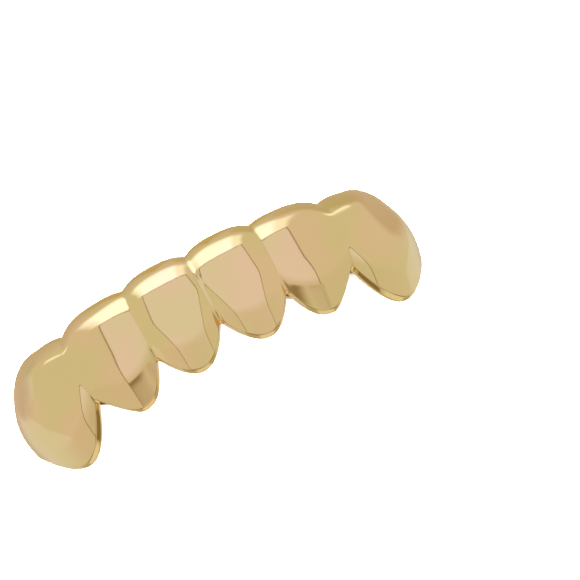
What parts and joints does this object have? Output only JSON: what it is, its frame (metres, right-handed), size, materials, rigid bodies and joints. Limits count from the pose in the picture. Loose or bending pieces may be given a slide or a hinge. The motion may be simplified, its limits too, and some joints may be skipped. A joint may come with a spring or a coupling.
{
  "type": "grillz tooth cover",
  "caption": "Thin polished gold cover for the lower front teeth, canine to canine, open on the gum side with a scalloped rim.",
  "frame": {"origin": "middle of the underside of the bounding box, on the surface that the two end walls rest on", "axes": "+X along the row of teeth, +Y towards the biting edge (gums on -Y), +Z out of the lip side"},
  "size_m": [0.04, 0.0126, 0.0138],
  "materials": {
    "gold": "polished"
  },
  "bodies": {
    "root": {"tooth_cover": "gold"}
  },
  "joints": []
}
